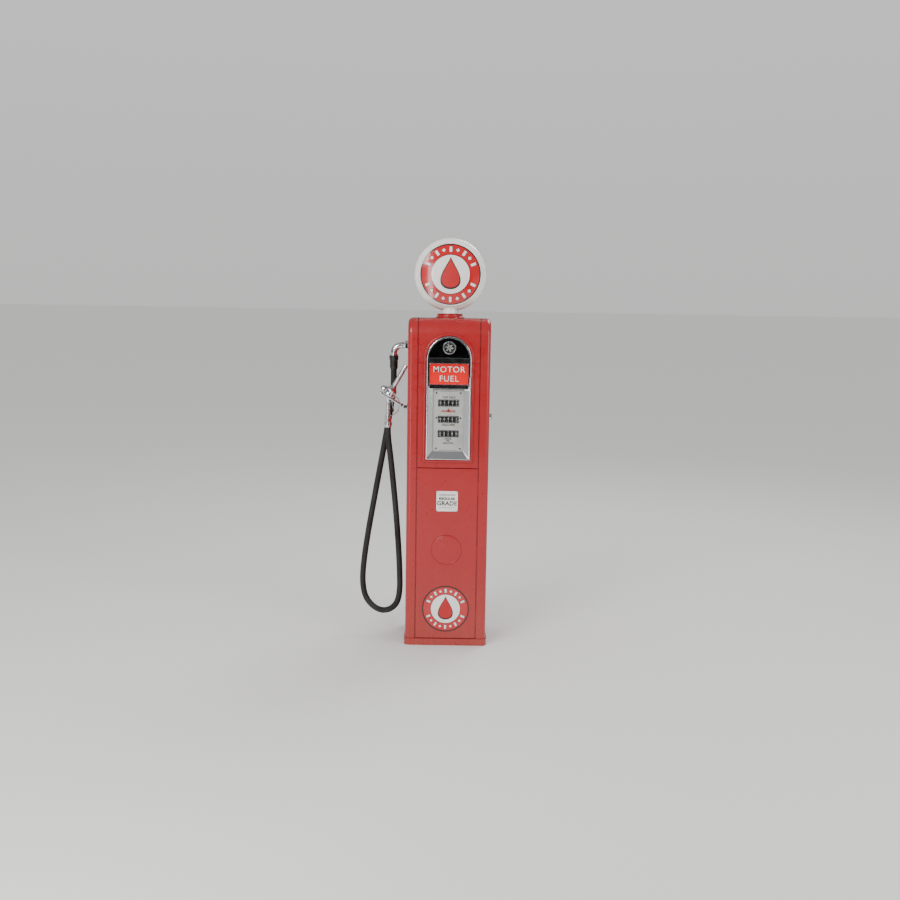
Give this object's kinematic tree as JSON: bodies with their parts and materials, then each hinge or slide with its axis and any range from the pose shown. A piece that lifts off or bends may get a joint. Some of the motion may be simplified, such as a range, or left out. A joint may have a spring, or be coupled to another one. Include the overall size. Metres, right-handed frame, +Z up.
{
  "type": "gas pump",
  "caption": "Tall double-faced computing gas pump: red sheet cabinet, round globe on top, arched chrome face with dial, and a hose with nozzle on its left side.",
  "frame": {"origin": "centre of the four anchor holes, on the underside of the cast base", "axes": "+Z up, -Y out of the front face, -X towards the side that carries the hose"},
  "size_m": [0.7479, 0.46, 2.268],
  "materials": {
    "red_enamel": "gloss",
    "chrome": "polished",
    "machined_steel": "brushed",
    "grey_iron": "cast",
    "zinc_frame": "satin",
    "brass": "polished",
    "globe_white": "gloss",
    "globe_face": "gloss",
    "clear_glass": "polished",
    "ad_glass": "gloss",
    "dial_enamel": "satin",
    "sign_enamel": "gloss",
    "plate_enamel": "gloss",
    "wheel_black": "matte",
    "hose_rubber": "matte",
    "coupling_black": "satin",
    "lamp_glass": "gloss"
  },
  "bodies": {
    "cabinet": {"base_casting": "red_enamel", "frame_posts": "zinc_frame", "frame_shelves": "zinc_frame", "left_side_panel": "red_enamel", "right_side_panel": "red_enamel", "top_hood": "red_enamel", "upper_panels": "red_enamel", "door_hinge_pins": "machined_steel", "globe_collar": "red_enamel", "globe_body": "globe_white", "globe_lenses": "globe_face", "lamp_socket": "lamp_glass", "lamp_bulb": "lamp_glass", "sight_glass_body": "chrome", "sight_glass_lenses": "clear_glass", "register_frame": "zinc_frame", "register_shafts": "machined_steel", "price_wheels": "wheel_black", "dial_plates": "dial_enamel", "dial_screws": "machined_steel", "meter_body": "grey_iron", "riser_pipe": "zinc_frame", "meter_pipe": "zinc_frame", "pumping_unit": "grey_iron", "air_separator": "grey_iron", "motor_body": "grey_iron", "v_belt": "hose_rubber", "suction_pipe": "zinc_frame", "junction_box": "zinc_frame", "switch_box": "zinc_frame", "side_flanges": "chrome", "outlet_elbow": "chrome", "upper_hose_coupling": "coupling_black", "hose": "hose_rubber"},
    "front_door": {"front_access_door": "red_enamel", "front_round_sign": "sign_enamel", "front_enamel_plate": "plate_enamel", "front_crank_cover": "red_enamel"},
    "rear_door": {"rear_access_door": "red_enamel", "rear_round_sign": "sign_enamel"},
    "front_dial_door": {"front_dial_bezel": "chrome", "front_ad_glass": "ad_glass", "front_dial_glass": "clear_glass"},
    "rear_dial_door": {"rear_dial_bezel": "chrome", "rear_glasses": "ad_glass"},
    "motor_rotor": {"motor_pulley": "grey_iron"},
    "pump_rotor": {"pump_pulley": "grey_iron"},
    "register_drive": {"register_drive_shaft": "brass"},
    "front_sale": {"front_sale_wheels": "wheel_black"},
    "front_gallons": {"front_gallon_wheels": "wheel_black"},
    "rear_sale": {"rear_sale_wheels": "wheel_black"},
    "rear_gallons": {"rear_gallon_wheels": "wheel_black"},
    "spinner": {"flow_spinner": "brass"},
    "reset": {"reset_knob": "chrome"},
    "nozzle": {"nozzle_body": "chrome", "nozzle_spout": "chrome", "nozzle_guard": "chrome", "lower_hose_coupling": "chrome"},
    "lever": {"nozzle_lever": "chrome"},
    "hook": {"nozzle_hook": "chrome"}
  },
  "joints": [
    {"name": "front_door_hinge", "type": "hinge", "parent": "cabinet", "child": "front_door", "pos_m": [0.17, -0.1985, 0.52], "axis": [0, 0, 1], "range_deg": [0, 110]},
    {"name": "rear_door_hinge", "type": "hinge", "parent": "cabinet", "child": "rear_door", "pos_m": [-0.17, 0.1985, 0.52], "axis": [0, 0, 1], "range_deg": [0, 110]},
    {"name": "front_dial_hinge", "type": "hinge", "parent": "cabinet", "child": "front_dial_door", "pos_m": [0.1275, -0.2125, 1.32], "axis": [0, 0, 1], "range_deg": [0, 105]},
    {"name": "rear_dial_hinge", "type": "hinge", "parent": "cabinet", "child": "rear_dial_door", "pos_m": [-0.1275, 0.2125, 1.32], "axis": [0, 0, 1], "range_deg": [0, 105]},
    {"name": "pump_spin", "type": "hinge", "parent": "cabinet", "child": "pump_rotor", "pos_m": [-0.095, 0.118, 0.33], "axis": [0, 1, 0], "continuous": true},
    {"name": "motor_spin", "type": "hinge", "parent": "cabinet", "child": "motor_rotor", "pos_m": [0.112, 0.118, 0.15], "axis": [0, 1, 0], "continuous": true},
    {"name": "register_drive_spin", "type": "hinge", "parent": "cabinet", "child": "register_drive", "pos_m": [-0.06, 0, 1], "axis": [0, 0, 1], "continuous": true},
    {"name": "front_sale_spin", "type": "hinge", "parent": "cabinet", "child": "front_sale", "pos_m": [0, -0.164, 1.366], "axis": [1, 0, 0], "continuous": true},
    {"name": "front_gallon_spin", "type": "hinge", "parent": "cabinet", "child": "front_gallons", "pos_m": [0, -0.164, 1.276], "axis": [1, 0, 0], "continuous": true},
    {"name": "rear_sale_spin", "type": "hinge", "parent": "cabinet", "child": "rear_sale", "pos_m": [0, 0.164, 1.366], "axis": [1, 0, 0], "continuous": true},
    {"name": "rear_gallon_spin", "type": "hinge", "parent": "cabinet", "child": "rear_gallons", "pos_m": [0, 0.164, 1.276], "axis": [1, 0, 0], "continuous": true},
    {"name": "flow_spin", "type": "hinge", "parent": "cabinet", "child": "spinner", "pos_m": [0, 0, 1.668], "axis": [0, 1, 0], "continuous": true},
    {"name": "reset_turn", "type": "hinge", "parent": "cabinet", "child": "reset", "pos_m": [0.2, 0, 1.276], "axis": [1, 0, 0], "continuous": true},
    {"name": "nozzle_lift", "type": "slide", "parent": "cabinet", "child": "nozzle", "axis": [-0.5, 0, 0.866], "range_m": [0, 0.15]},
    {"name": "lever_squeeze", "type": "hinge", "parent": "nozzle", "child": "lever", "pos_m": [-0.316, -0.062, 1.364], "axis": [0, 1, 0], "range_deg": [0, 9], "stiffness_Nm_per_rad": 1, "springref_deg": -8.59},
    {"name": "hook_rise", "type": "hinge", "parent": "cabinet", "child": "hook", "pos_m": [-0.244, -0.062, 1.32961], "axis": [0, 1, 0], "range_deg": [0, 8.2]}
  ],
  "couplings": [
    {"joint": "motor_spin", "follows": "pump_spin", "ratio": 2.6119},
    {"joint": "front_gallon_spin", "follows": "register_drive_spin", "ratio": 0.25},
    {"joint": "rear_gallon_spin", "follows": "register_drive_spin", "ratio": -0.25},
    {"joint": "front_sale_spin", "follows": "register_drive_spin", "ratio": 0.475},
    {"joint": "rear_sale_spin", "follows": "register_drive_spin", "ratio": -0.475},
    {"joint": "hook_rise", "follows": "nozzle_lift", "rad_per_m": 0.931}
  ]
}
